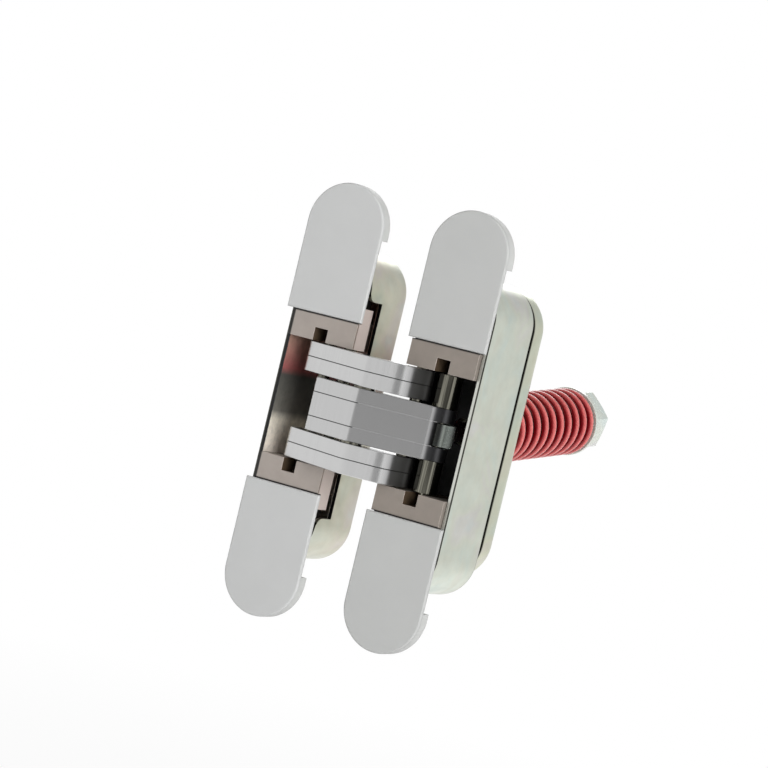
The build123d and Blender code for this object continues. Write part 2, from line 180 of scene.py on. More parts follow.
class Effects:
    """Shared surface effects, each one a node group."""

    NOISE_SPAN = (0.3, 0.7)  # where nearly all values of a noise lie
    NOISE_ROUGHNESS = 0.6
    EDGE_SPAN = (1.0, 0.8)  # from a flat place to a full edge, as a cosine
    EDGE_SAMPLES = 6
    BEND_SAMPLES = 8
    UPRIGHT = 0.5  # a face whose normal has less height than this is upright
    FACING_SPAN = (0.7, 0.8)  # from a face that is turned away to one that counts, as a cosine
    SEAM_HALF = 0.0003  # half the width of a seam before it fades, metres
    PLATING_TINTS = (
        (0.30, (0.91, 0.99, 0.96)), (0.42, (0.97, 1.00, 0.92)), (0.52, (1.00, 0.99, 0.89)),
        (0.62, (1.00, 0.95, 0.93)), (0.72, (0.95, 0.99, 1.00)),
    )

    def __init__(self) -> None:
        """Makes every group once."""
        self.mottle = self._mottle()
        self.streaks = self._streaks()
        self.edges = self._edges()
        self.plating = self._plating()
        self.hollow = self._hollow()
        self.joints = self._joints()
        self.seam = self._seam()
        self.recess = self._recess()
        self.high = self._past("High", height=True)
        self.beyond = self._past("Beyond", height=False)
        self.bends = self._bends()
        self.facing = self._facing()

    @staticmethod
    def _group(name: str, takes: dict[str, float | Triple],
               **gives: str) -> tuple[Graph, NodeOutputs, NodeInputs]:
        """Starts a group.

        Args:
            name: the group's name.
            takes: input names with their default values.
            gives: output names with their socket types.

        Returns:
            The graph, what it takes and what it gives.
        """
        tree = bpy.data.node_groups.new(name, "ShaderNodeTree")
        for label, value in takes.items():
            kind = "Float" if isinstance(value, float) else "Vector"
            socket = tree.interface.new_socket(label, in_out="INPUT", socket_type="NodeSocket" + kind)
            socket.default_value = value
        for label, kind in gives.items():
            tree.interface.new_socket(label, in_out="OUTPUT", socket_type="NodeSocket" + kind)
        start, end = tree.nodes.new("NodeGroupInput"), tree.nodes.new("NodeGroupOutput")
        return Graph(tree), start.outputs, end.inputs

    def _mottle(self) -> NodeTree:
        """Cloudy variation from 0 to 1.

        Returns:
            The node group.
        """
        g, takes, gives = self._group("Mottle", {"Scale": 300.0, "Detail": 4.0}, Value="Float")
        inputs = {name: takes[name] for name in ("Scale", "Detail")}
        noise = g.add("TexNoise", {"Vector": g.spot(), "Roughness": self.NOISE_ROUGHNESS, **inputs})
        g.feed(gives["Value"], g.between(noise.outputs[0], 0.0, 1.0, *self.NOISE_SPAN))
        return g.tree

    def _streaks(self) -> NodeTree:
        """Fine parallel lines, as a value from 0 to 1.

        Returns:
            The node group.
        """
        g, takes, gives = self._group("Streaks", {"Stretch": (4000.0, 4000.0, 120.0)}, Value="Float")
        drawn = g.add("VectorMath", {0: g.spot(), 1: takes["Stretch"]}, operation="MULTIPLY").outputs[0]
        inputs = {"Vector": drawn, "Scale": 1.0, "Detail": 3.0, "Roughness": self.NOISE_ROUGHNESS}
        noise = g.add("TexNoise", inputs)
        g.feed(gives["Value"], g.between(noise.outputs[0], 0.0, 1.0, *self.NOISE_SPAN))
        return g.tree

    def _edges(self) -> NodeTree:
        """Worn, softened edges: a mask that is 1 on an edge, and the rounded normal.

        Returns:
            The node group.
        """
        g, takes, gives = self._group("Edges", {"Radius": 0.0002}, Mask="Float", Normal="Vector")
        soft = g.add("Bevel", {"Radius": takes["Radius"]}, samples=self.EDGE_SAMPLES).outputs[0]
        turned = g.dot(soft, g.add("NewGeometry").outputs["Normal"])
        g.feed(gives["Mask"], g.between(turned, 0.0, 1.0, *self.EDGE_SPAN))
        g.feed(gives["Normal"], soft)
        return g.tree

    def _plating(self) -> NodeTree:
        """The faint green, yellow and pink shimmer of passivated zinc, as a tint near white.

        Returns:
            The node group.
        """
        g, takes, gives = self._group("Plating", {"Scale": 60.0}, Color="Color")
        inputs = {
            "Vector": g.spot(), "Scale": takes["Scale"], "Detail": 3.0, "Roughness": 0.55, "Distortion": 0.8,
        }
        noise = g.add("TexNoise", inputs)
        g.feed(gives["Color"], g.ramp(noise.outputs[0], self.PLATING_TINTS))
        return g.tree

    def _hollow(self) -> NodeTree:
        """Tells a round-ended cup's inside, rim and the rim's outer edge, and gives the height, 0 to 1.

        Returns:
            The node group.
        """
        takes_what = {
            "Middle": 0.0, "Straight": 0.032, "Radius": 0.0102, "Back": 0.02, "Reach": 0.02,
            "Front": -0.0014, "Rim Depth": 0.00015, "Outer": 0.01088, "Line Depth": 0.00035,
        }
        gives_what = {name: "Float" for name in ("Inside", "Height", "Rim", "Line")}
        g, takes, gives = self._group("Hollow", takes_what, **gives_what)
        place = g.split(g.spot())
        across = g.math("SUBTRACT", place["X"], takes["Middle"])
        past = g.math("SUBTRACT", g.math("ABSOLUTE", place["Z"]), takes["Straight"])
        past = g.math("MAXIMUM", past, 0.0)
        squares = [g.math("MULTIPLY", way, way) for way in (across, past)]
        off = g.math("SQRT", g.math("ADD", *squares))
        within = g.math("LESS_THAN", off, takes["Radius"])
        before = g.math("LESS_THAN", place["Y"], takes["Back"])
        g.feed(gives["Inside"], g.math("MULTIPLY", within, before))
        deep = g.math("SUBTRACT", place["Y"], takes["Front"])
        g.feed(gives["Rim"], g.math("LESS_THAN", deep, takes["Rim Depth"]))
        outer = g.math("GREATER_THAN", off, takes["Outer"])
        g.feed(gives["Line"], g.math("MULTIPLY", g.math("LESS_THAN", deep, takes["Line Depth"]), outer))
        share = g.math("DIVIDE", place["Z"], takes["Reach"])
        g.feed(gives["Height"], g.math("MULTIPLY_ADD", share, 0.5, 0.5))
        return g.tree

    def _joints(self) -> NodeTree:
        """A mask that is 1 in the fine grooves of a stack, at two heights above and below the middle.

        Returns:
            The node group.
        """
        takes_what = {"First": 0.0033, "Second": 0.01195, "Half": 0.00011}
        g, takes, gives = self._group("Joints", takes_what, Mask="Float")
        height = g.math("ABSOLUTE", g.split(g.spot())["Z"])
        offs = [g.off(height, takes[name]) for name in ("First", "Second")]
        grooves = [g.math("LESS_THAN", off, takes["Half"]) for off in offs]
        g.feed(gives["Mask"], g.math("MAXIMUM", *grooves))
        return g.tree

    def _seam(self) -> NodeTree:
        """A mask that is 1 at one depth and fades to 0 over a short way on both sides.

        Returns:
            The node group.
        """
        g, takes, gives = self._group("Seam", {"At": 0.0, "Far": 0.001}, Mask="Float")
        off = g.off(g.split(g.spot())["Y"], takes["At"])
        g.feed(gives["Mask"], g.between(off, 1.0, 0.0, self.SEAM_HALF, takes["Far"], "SMOOTHSTEP"))
        return g.tree

    def _recess(self) -> NodeTree:
        """A mask that is 1 in a notch: near one place across, behind a face, and below a height on both ends.

        Returns:
            The node group.
        """
        takes_what = {"Middle": 0.0, "Half": 0.0021, "Front": -0.00295, "Top": 0.02}
        g, takes, gives = self._group("Recess", takes_what, Mask="Float")
        place = g.split(g.spot())
        near = g.math("LESS_THAN", g.off(place["X"], takes["Middle"]), takes["Half"])
        behind = g.math("GREATER_THAN", place["Y"], takes["Front"])
        low = g.math("LESS_THAN", g.math("ABSOLUTE", place["Z"]), takes["Top"])
        g.feed(gives["Mask"], g.math("MULTIPLY", near, g.math("MULTIPLY", behind, low)))
        return g.tree

    def _past(self, name: str, height: bool) -> NodeTree:
        """A mask that is 1 past a place, with a short fade.

        Args:
            name: the group's name.
            height: whether the place is a height above and below the middle, or lies across the hinge.

        Returns:
            The node group.
        """
        g, takes, gives = self._group(name, {"At": 0.0, "Fade": 0.0003}, Mask="Float")
        place = g.split(g.spot())
        at = g.math("ABSOLUTE", place["Z"]) if height else place["X"]
        past = g.math("DIVIDE", g.math("SUBTRACT", at, takes["At"]), takes["Fade"])
        g.feed(gives["Mask"], g.add("Clamp", {"Value": past}).outputs[0])
        return g.tree

    def _bends(self) -> NodeTree:
        """The normal of an upright plate's edge, rounded where the plate bends and kept level.

        Returns:
            The node group.
        """
        g, takes, gives = self._group("Bends", {"Radius": 0.0008}, Normal="Vector")
        soft = g.add("Bevel", {"Radius": takes["Radius"]}, samples=self.BEND_SAMPLES).outputs[0]
        flat = g.add("VectorMath", {0: soft, 1: (1.0, 1.0, 0.0)}, operation="MULTIPLY").outputs[0]
        level = g.add("VectorMath", {0: flat}, operation="NORMALIZE").outputs[0]
        true = g.add("NewGeometry").outputs["Normal"]
        upright = g.math("LESS_THAN", g.math("ABSOLUTE", g.split(true)["Z"]), self.UPRIGHT)
        mixed = g.add("Mix", {"Factor": upright, 4: true, 5: level}, data_type="VECTOR")
        g.feed(gives["Normal"], mixed.outputs[1])
        return g.tree

    def _facing(self) -> NodeTree:
        """A mask that is 1 where the surface faces one way.

        Returns:
            The node group.
        """
        g, takes, gives = self._group("Facing", {"Way": ACROSS}, Mask="Float")
        along = g.dot(g.add("TexCoord").outputs["Normal"], takes["Way"])
        g.feed(gives["Mask"], g.between(along, 0.0, 1.0, *self.FACING_SPAN))
        return g.tree


@dataclass
class Surface:
    """A material under construction, with lengths in millimetres."""

    graph: Graph
    effects: Effects
    placed: dict[tuple, NodeOutputs] = field(default_factory=dict)

    def effect(self, tree: NodeTree, **values: float | Triple) -> NodeOutputs:
        """Places a shared group, once for the same values.

        Args:
            tree: the group.
            values: the group's inputs, lengths in metres.

        Returns:
            What the group puts out.
        """
        key = (tree.name, *sorted(values.items()))
        if key not in self.placed:
            self.placed[key] = self.graph.add("Group", values, node_tree=tree).outputs
        return self.placed[key]

    def cloud(self, scale: float, detail: float = 4.0) -> NodeSocket:
        """Cloudy variation from 0 to 1."""
        return self.effect(self.effects.mottle, Scale=scale, Detail=detail)["Value"]

    def edges(self, radius: float) -> NodeOutputs:
        """The mask of worn edges and their rounded normal."""
        return self.effect(self.effects.edges, Radius=radius * MM)

    def facing(self, way: Triple) -> NodeSocket:
        """The mask of what faces one way."""
        return self.effect(self.effects.facing, Way=way)["Mask"]

    def seam(self, at: float, far: float = 1.0) -> NodeSocket:
        """The mask of what lies near one depth."""
        return self.effect(self.effects.seam, At=at * MM, Far=far * MM)["Mask"]

    def beyond(self, at: float, fade: float = 0.3) -> NodeSocket:
        """The mask of what lies past a place across the hinge."""
        return self.effect(self.effects.beyond, At=at * MM, Fade=fade * MM)["Mask"]

    def high(self, at: float, fade: float = 0.3) -> NodeSocket:
        """The mask of what lies past a height above and below the middle."""
        return self.effect(self.effects.high, At=at * MM, Fade=fade * MM)["Mask"]

    def both(self, first: NodeSocket, second: NodeSocket) -> NodeSocket:
        """The mask of what lies in two masks."""
        return self.graph.math("MULTIPLY", first, second)

    def bump(self, height: NodeSocket, strength: float, depth: float,
             normal: NodeSocket | None) -> NodeSocket:
        """A normal roughened by a height.

        Args:
            height: the height, from 0 to 1.
            strength: how much of it shows.
            depth: what a height of 1 stands for.
            normal: the normal below, or None for the mesh's own.

        Returns:
            The new normal.
        """
        inputs = {"Strength": strength, "Distance": depth * MM, "Height": height}
        if normal is not None:
            inputs["Normal"] = normal
        return self.graph.add("Bump", inputs).outputs[0]


@dataclass(frozen=True)
class Finish:
    """A surface: its record slot, colour, gloss and fine grain."""

    name: str
    slot: str
    colour: Colour
    roughness: float
    metallic: float = 0.0
    edge: float | None = 0.15
    grain: float = 9000.0
    grain_detail: float = 2.0
    bump: float = 0.08
    depth: float = 0.04
    gloss_scale: float = 500.0
    gloss_swing: float = 0.05
    specular: float = 0.5
    coat: float = 0.0
    coat_roughness: float = 0.03

    def material(self, effects: Effects) -> Material:
        """Builds the material.

        Args:
            effects: the shared node groups.

        Returns:
            The finished material.
        """
        made = bpy.data.materials.new(self.name)
        made.use_nodes = True
        on = Surface(Graph(made.node_tree), effects)
        values = {
            "Base Color": self.skin(on), "Metallic": self.metal(on), "Roughness": self.gloss(on),
            "Normal": self.relief(on), "Specular IOR Level": self.specular, "Coat Weight": self.coat,
            "Coat Roughness": self.coat_roughness,
        }
        shader = made.node_tree.nodes["Principled BSDF"]
        for name, value in values.items():
            on.graph.feed(shader.inputs[name], value)
        return made

    def skin(self, on: Surface) -> NodeSocket | Colour:
        """The colour over the surface."""
        return self.colour

    def metal(self, on: Surface) -> NodeSocket | float:
        """How much the surface is a metal."""
        return self.metallic

    def gloss(self, on: Surface) -> NodeSocket:
        """The roughness, wandering a little over the surface."""
        cloud = on.cloud(self.gloss_scale)
        return on.graph.between(cloud, self.roughness - self.gloss_swing, self.roughness + self.gloss_swing)

    def height(self, on: Surface) -> NodeSocket:
        """The fine grain's height, from 0 to 1."""
        return on.cloud(self.grain, self.grain_detail)

    def relief(self, on: Surface) -> NodeSocket:
        """The normal, with the fine grain over softened edges."""
        normal = None if self.edge is None else on.edges(self.edge)["Normal"]
        return on.bump(self.height(on), self.bump, self.depth, normal)

    def shades(self, on: Surface, value: NodeSocket, swing: float) -> NodeSocket:
        """The colour, run from a little darker to a little lighter.

        Args:
            on: the material under construction.
            value: the socket that the colour follows, from 0 to 1.
            swing: how far the colour goes to either side, as a share.

        Returns:
            The running colour.
        """
        low = tuple(c * (1 - swing) for c in self.colour)
        high = tuple(min(1.0, c * (1 + swing)) for c in self.colour)
        return on.graph.ramp(value, ((0.0, low), (1.0, high)))


@dataclass(frozen=True)
class CoverPaint(Finish):
    """Matte paint with a very fine grain and a faint cloud."""

    edge: float | None = 0.25
    depth: float = 0.03
    gloss_swing: float = 0.04
    specular: float = 0.35
    cloud: float = 90.0
    swing: float = 0.015

    def skin(self, on: Surface) -> NodeSocket:
        """The paint's colour, faintly clouded."""
        return self.shades(on, on.cloud(self.cloud), self.swing)


@dataclass(frozen=True)
class ZincPlate(Finish):
    """Zinc plating with a faint shimmer of colours, small stains and painted shade along a seam."""

    metallic: float = 1.0
    edge: float | None = 0.3
    grain: float = 2200.0
    grain_detail: float = 3.0
    bump: float = 0.12
    gloss_scale: float = 260.0
    gloss_swing: float = 0.08
    shimmer: float = 55.0
    stain: float = 0.2
    stain_scale: float = 150.0
    stain_colour: Colour = (0.30, 0.30, 0.27)
    seam: float | None = None
    # painted shade along the seam between two parts
    seam_shade_colour: Colour = (0.045, 0.045, 0.035)

    def skin(self, on: Surface) -> NodeSocket:
        """The plating's colour, with its stains and painted shade along a seam.

        Args:
            on: the material under construction.

        Returns:
            The colour.
        """
        g = on.graph
        tint = on.effect(on.effects.plating, Scale=self.shimmer)["Color"]
        stained = g.between(on.cloud(self.stain_scale, FINE), 0.0, self.stain)
        tone = g.mix(stained, g.mix(1.0, self.colour, tint, "MULTIPLY"), self.stain_colour)
        return tone if self.seam is None else g.mix(on.seam(self.seam), tone, self.seam_shade_colour)


@dataclass(frozen=True)
class CupPlate(ZincPlate):
    """Zinc plating on a drawn cup, dull inside with painted reflections, painted shade and soot there, painted
    shade on its forward faces, and a dark line round its rim.
    """

    middle: float = 0.0
    back: float = 19.4
    # the inside's colours by height: painted reflections and painted shade of the pocket
    inside: Stops = ((0.0, (0.05, 0.05, 0.05)), (1.0, (0.05, 0.05, 0.05)))
    inside_metallic: float = 0.1
    soot: float = 0.32
    soot_scale: float = 650.0
    soot_colour: Colour = (0.03, 0.03, 0.03)
    # faces that look forward, painted near black as shade
    front: Colour = (0.02, 0.02, 0.02)
    rim: Colour = (0.62, 0.63, 0.58)
    line: Colour = (0.07, 0.07, 0.06)

    def cup(self, on: Surface) -> NodeOutputs:
        """The group that tells this cup's inside from its outside."""
        return on.effect(on.effects.hollow, Middle=self.middle * MM, Back=self.back * MM)

    def metal(self, on: Surface) -> NodeSocket:
        """The metal's shine, which the inside lacks."""
        return on.graph.between(self.cup(on)["Inside"], self.metallic, self.inside_metallic)

    def skin(self, on: Surface) -> NodeSocket:
        """The plating's colour, with painted reflections, painted shade and soot inside, painted shade on
        forward faces, the rim and the rim's line.

        Args:
            on: the material under construction.

        Returns:
            The colour.
        """
        g, cup = on.graph, self.cup(on)
        sooty = g.between(on.cloud(self.soot_scale, FINE), self.soot, 0.0)
        # painted reflections and painted shade of the pocket by height, with soot clouds
        inside_light_and_soot = g.mix(sooty, g.ramp(cup["Height"], self.inside), self.soot_colour)
        # painted shade on faces that look forward
        tone = g.mix(on.facing(FORWARD), super().skin(on), self.front)
        for mask, colour in (("Inside", inside_light_and_soot), ("Rim", self.rim), ("Line", self.line)):
            tone = g.mix(cup[mask], tone, colour)
        return tone


@dataclass(frozen=True)
class EyePlate(ZincPlate):
    """Zinc plating on the rod's turned eye, with painted bands of reflection and shade at its front, and the
    shaft inside the spring painted dark red as shade and the spring's reflected light.
    """

    # painted reflections and painted shade across the eye's front
    painted_light_bands: Stops = (
        (0.13, (0.01, 0.01, 0.01)), (0.22, (0.055, 0.060, 0.057)), (0.31, (0.12, 0.13, 0.12)),
        (0.40, (0.20, 0.22, 0.20)), (0.52, (0.14, 0.155, 0.14)), (0.64, (0.46, 0.51, 0.47)),
        (0.74, (0.60, 0.66, 0.61)), (0.84, (0.76, 0.83, 0.78)),
    )
    bands_from: float = 40.0
    bands_over: float = 3.0
    bands_deep: float = 7.0
    front: float = 1.0
    # the shaft's painted shade, dark red from the spring's reflected light
    shaft_painted_shade: Colour = (0.05, 0.010, 0.010)
    shaft_from: float = 11.0

    def skin(self, on: Surface) -> NodeSocket:
        """The plating's colour, with painted bands of reflection and shade at the front of the eye and painted
        shade along the shaft.

        Args:
            on: the material under construction.

        Returns:
            The colour.
        """
        # painted bands of reflection and shade across the eye
        turned = on.graph.ramp(on.beyond(self.bands_from, self.bands_over), self.painted_light_bands)
        tone = on.graph.mix(on.seam(self.front, self.shaft_from), self.shaft_painted_shade, super().skin(on))
        return on.graph.mix(on.seam(self.front, self.bands_deep), tone, turned)


@dataclass(frozen=True)
class CastFinish(Finish):
    """Matte casting with pores, rubbed edges, painted shade in the notch and painted shade under the cap."""

    metallic: float = 0.25
    edge: float | None = 0.22
    grain: float = 3000.0
    bump: float = 0.2
    gloss_scale: float = 350.0
    gloss_swing: float = 0.06
    cloud: float = 220.0
    cloud_low: float = 0.9
    rubbed: Colour = (0.58, 0.51, 0.46)
    middle: float = 0.0
    # colours of painted shade: the notch's, and the darker one under the cap
    notch_shade: Colour = (0.085, 0.058, 0.036)
    dark: Colour = (0.012, 0.011, 0.010)
    cap_line: float = 23.12

    def skin(self, on: Surface) -> NodeSocket:
        """The casting's colour under its layers of wear and shade.

        Args:
            on: the material under construction.

        Returns:
            The colour.
        """
        low = tuple(c * self.cloud_low for c in self.colour)
        tone = on.graph.ramp(on.cloud(self.cloud, FINE), ((0.0, low), (1.0, self.colour)))
        for mask, colour in self.layers(on):
            tone = on.graph.mix(mask, tone, colour)
        return tone

    def layers(self, on: Surface) -> list[tuple[NodeSocket, Colour]]:
        """Wear and shade, from the lowest layer up.

        Args:
            on: the material under construction.

        Returns:
            Each layer's mask and colour: the rubbed edges, the painted shade under the cap, the painted shade in
            the notch.
        """
        return [
            (on.edges(self.edge)["Mask"], self.rubbed),
            (on.both(on.high(self.cap_line), on.facing(FORWARD)), self.dark),
            (on.effect(on.effects.recess, Middle=self.middle * MM)["Mask"], self.notch_shade),
        ]


@dataclass(frozen=True)
class TabbedCast(CastFinish):
    """The casting of a block whose tab shows in the casing's window, with painted light on the tab's flank and
    painted shade round it.
    """

    # the flank that faces across, painted lighter as light falling from the side
    painted_light_flank: Colour = (0.50, 0.42, 0.39)
    flank_from: float = 8.5
    front: float = -3.1
    brow: float = 0.8
    brow_over: float = 0.9
    relief_from: float = 7.8
    tab_end: float = 27.72
    shade: float = -9.3

    def layers(self, on: Surface) -> list[tuple[NodeSocket, Colour]]:
        """Adds painted light on the flank, a painted shade line along its front edge, painted shade in the
        relief past the tab and painted shade at the cup's wall.

        Args:
            on: the material under construction.

        Returns:
            Each layer's mask and colour, from the lowest up.
        """
        rubbed, cap, notch_shade = super().layers(on)
        # painted light on the flank with a painted shade line at its front edge; painted shade past the tab and
        # at the cup's wall
        painted_light_flank = on.both(on.beyond(self.flank_from), on.facing(ACROSS))
        brow = on.graph.between(on.seam(self.front, self.brow_over), 0.0, self.brow)
        relief = on.both(on.beyond(self.relief_from, SHARP), on.high(self.tab_end, SHARP))
        wall = on.graph.math("SUBTRACT", 1.0, on.beyond(self.shade))
        return [
            (painted_light_flank, self.painted_light_flank), rubbed, (on.both(painted_light_flank, brow), self.notch_shade), cap, notch_shade,
            (relief, self.dark), (wall, self.dark),
        ]


@dataclass(frozen=True)
class GroundSteel(Finish):
    """Steel or brass with fine lines, stretched along one way."""

    metallic: float = 1.0
    bump: float = 0.03
    depth: float = 0.01
    gloss_scale: float = 600.0
    stretch: Triple = (5000.0, 5000.0, 90.0)
    swing: float = 0.06

    def height(self, on: Surface) -> NodeSocket:
        """The lines, from 0 to 1."""
        return on.effect(on.effects.streaks, Stretch=self.stretch)["Value"]

    def skin(self, on: Surface) -> NodeSocket:
        """The metal's colour along its lines."""
        return self.shades(on, self.height(on), self.swing)


@dataclass(frozen=True)
class StackedSteel(GroundSteel):
    """Ground plates in a stack, with grooves where two meet, soft bends and a rougher end with painted shade."""

    stretch: Triple = (1800.0, 1800.0, 40.0)
    swing: float = 0.025
    bend: float = 1.5
    end: float = 30.6
    fade: float = 2.4
    # painted shade at the end, for the dark pocket that it reflects
    painted_end_shade: Colour = (0.24, 0.24, 0.245)
    end_roughness: float = 0.45
    groove: Colour = (0.20, 0.20, 0.20)
    # a painted highlight on the grooves past lit_from
    lit: Colour = (0.80, 0.80, 0.80)
    lit_from: float | None = None

    def past(self, on: Surface) -> NodeSocket:
        """The mask of the unground end, which is rougher and carries painted shade."""
        return on.beyond(self.end, self.fade)

    def gloss(self, on: Surface) -> NodeSocket:
        """The roughness, greater at the unground end."""
        return on.graph.between(self.past(on), self.roughness, self.end_roughness)

    def relief(self, on: Surface) -> NodeSocket:
        """The normal, rounded at the bends."""
        return on.effect(on.effects.bends, Radius=self.bend * MM)["Normal"]

    def skin(self, on: Surface) -> NodeSocket:
        """The steel's colour along its lines, with painted shade at the unground end, and the grooves, some with
        a painted highlight.

        Args:
            on: the material under construction.

        Returns:
            The colour.
        """
        tone = on.graph.mix(self.past(on), super().skin(on), self.painted_end_shade)
        line = self.groove
        if self.lit_from is not None:
            line = on.graph.mix(on.beyond(self.lit_from), self.groove, self.lit)
        return on.graph.mix(on.effect(on.effects.joints)["Mask"], tone, line)


@dataclass(frozen=True)
class Lacquer(Finish):
    """Glossy lacquer over a spring's wire, with painted shade between the turns and a painted highlight on their
    backs.
    """

    edge: float | None = None
    grain: float = 1800.0
    grain_detail: float = 1.0
    bump: float = 0.05
    specular: float = 0.15
    coat: float = 0.6
    coat_roughness: float = 0.14
    shade: str = "outward"
    # painted shade between the turns, and below it a painted highlight on the turns' backs
    deep: Colour = (0.13, 0.002, 0.004)
    painted_highlight: Colour = (0.60, 0.145, 0.135)
    places: Triple = (0.63, 0.79, 0.96)
    cloud: float = 500.0
    cloud_share: float = 0.12

    def skin(self, on: Surface) -> NodeSocket:
        """The lacquer's colour from painted shade between the turns to a painted highlight on their backs, with
        a faint cloud.

        Args:
            on: the material under construction.

        Returns:
            The colour.
        """
        out = on.graph.add("Attribute", attribute_name=self.shade).outputs["Fac"]
        tone = on.graph.ramp(out, tuple(zip(self.places, (self.deep, self.colour, self.painted_highlight))))
        return on.graph.mix(on.graph.between(on.cloud(self.cloud), self.cloud_share, 0.0), tone, self.deep)


@dataclass
class Palette:
    """Every finish of the hinge, made once."""

    effects: Effects
    made: dict[str, Material] = field(default_factory=dict)

    COVER = CoverPaint("cover_paint", "cover_grey", (0.487, 0.492, 0.489), 0.52)
    # a darker copy of the frame side's cover paint, its darkness painted shade
    COVER_DOOR = CoverPaint("door_cover_paint_shaded", "cover_grey", (0.430, 0.435, 0.428), 0.52)
    PLATE = CoverPaint("plate_paint", "plated_steel", (0.470, 0.475, 0.465), 0.48)
    # the frame cup's dark rim is painted shade, and its inside stops are painted reflections and painted shade
    # of the pocket
    FRAME_CUP = CupPlate(
        "frame_cup_zinc", "plated_steel", (0.56, 0.55, 0.50), 0.36, rim=(0.03, 0.03, 0.03),
        inside=(
            (0.10, (1.0, 0.90, 0.79)), (0.32, (1.0, 0.93, 0.79)), (0.38, (0.26, 0.25, 0.22)),
            (0.63, (0.10, 0.10, 0.09)), (0.68, (0.42, 0.13, 0.125)), (0.92, (0.46, 0.30, 0.23)),
        ),
    )
    DOOR_CUP = CupPlate(
        "door_cup_zinc", "plated_steel", (0.605, 0.635, 0.61), 0.36, middle=DOOR_MIDDLE, back=21.6, seam=SEAM,
    )
    SHELL = ZincPlate("shell_zinc", "plated_steel", (0.58, 0.595, 0.52), 0.36, seam=SEAM)
    BRIGHT = ZincPlate(
        "bright_zinc", "plated_steel", (0.66, 0.69, 0.69), 0.28, metallic=0.6, edge=0.25, bump=0.02,
        shimmer=120.0, stain=0.05,
    )
    ROD = EyePlate(
        "rod_zinc", "plated_steel", (0.52, 0.58, 0.53), 0.26, metallic=0.7, edge=0.2, shimmer=300.0, stain=0.4,
    )
    CAST = TabbedCast("taupe_casting", "cast_block", (0.355, 0.314, 0.283), 0.48)
    # a darker copy of the frame side's casting, its darkness painted shade
    CAST_DOOR = CastFinish("door_casting_shaded", "cast_block", (0.250, 0.218, 0.190), 0.48, middle=DOOR_MIDDLE)
    ARM = StackedSteel("ground_steel", "arm_steel", (0.58, 0.58, 0.58), 0.25)
    # the middle arm: darker painted shade at its end, and a painted highlight on its grooves past lit_from
    ARM_MIDDLE = StackedSteel(
        "ground_steel_middle", "arm_steel", (0.54, 0.54, 0.54), 0.25, end=38.1, fade=1.1,
        painted_end_shade=(0.14, 0.14, 0.145), lit_from=20.0,
    )
    # turned lines, made strong enough to paint bright and dark reflection stripes round the pins and sleeves
    DARK = GroundSteel(
        "turned_steel", "pin_steel", (0.165, 0.160, 0.132), 0.11, stretch=(2200.0, 2200.0, 40.0), swing=0.75,
    )
    BRASS = GroundSteel("turned_brass", "brass_eccentric", (0.70, 0.55, 0.28), 0.30)
    RED = Lacquer("red_lacquer", "red_spring", (0.30, 0.020, 0.022), 0.30)

    def dress(self, piece: Object, finish: Finish) -> Object:
        """Gives a piece its finish.

        Args:
            piece: the object.
            finish: what it is covered with.

        Returns:
            The same object.
        """
        if finish.name not in self.made:
            self.made[finish.name] = finish.material(self.effects)
        piece.data.materials.clear()
        piece.data.materials.append(self.made[finish.name])
        return piece


class Shape:
    """Mesh helpers."""

    @staticmethod
    def mesh(name: str, points: list[Vector], faces: list[tuple[int, ...]], smooth: bool = True) -> Object:
        """A new object from points and faces.

        Args:
            name: the piece's name.
            points: corners in the hinge's frame, metres.
            faces: rings of corner numbers.
            smooth: whether faces shade smoothly.

        Returns:
            The object, linked to the scene.
        """
        data = bpy.data.meshes.new(name)
        data.from_pydata([tuple(p) for p in points], [], faces)
        data.validate()
        data.update()
        data.polygons.foreach_set("use_smooth", [smooth] * len(data.polygons))
        made = bpy.data.objects.new(name, data)
        bpy.context.scene.collection.objects.link(made)
        return made

    @staticmethod
    def sheet(name: str, size: float, level: float = 0.0) -> Object:
        """A level square round the vertical through the origin.

        Args:
            name: the piece's name.
            size: its side, metres.
            level: its height, metres.

        Returns:
            The object, linked to the scene.
        """
        half = size / 2
        points = [Vector((x, y, level)) for x, y in ((-half, -half), (half, -half), (half, half), (-half, half))]
        return Shape.mesh(name, points, [(0, 1, 2, 3)], smooth=False)


class Assembly:
    """A sub-assembly of the hinge."""

    def finishes(self, palette: Palette) -> dict[str, Finish]:
        """The finish of each CAD node, by the node's name."""
        raise NotImplementedError

    def build(self, palette: Palette) -> list[Object]:
        """Dresses every CAD node of the sub-assembly and gives them back."""
        finishes = self.finishes(palette)
        return [palette.dress(frame["nodes"][name], finish) for name, finish in finishes.items()]


@dataclass
class HalfHinge(Assembly):
    """One side: casing, plates, blocks, caps, pin and screws."""

    side: Side

    def finishes(self, palette: Palette) -> dict[str, Finish]:
        """The finish of each CAD node of this side.

        Args:
            palette: the finishes to choose from.

        Returns:
            The finishes by the nodes' names.
        """
        framed = self.side is Side.FRAME
        parts = {
            "casing": palette.FRAME_CUP if framed else palette.DOOR_CUP, "pivot_pin": palette.DARK,
            "clamp_screws": palette.BRIGHT, "adjusting_eccentrics": palette.BRASS,
        }
        for end in End:
            parts[f"{end.value}_mounting_plate"] = palette.PLATE
            parts[f"{end.value}_end_block"] = palette.CAST if framed else palette.CAST_DOOR
            parts[f"{end.value}_cover_cap"] = palette.COVER if framed else palette.COVER_DOOR
        return {f"{self.side.value}_{part}": finish for part, finish in parts.items()}


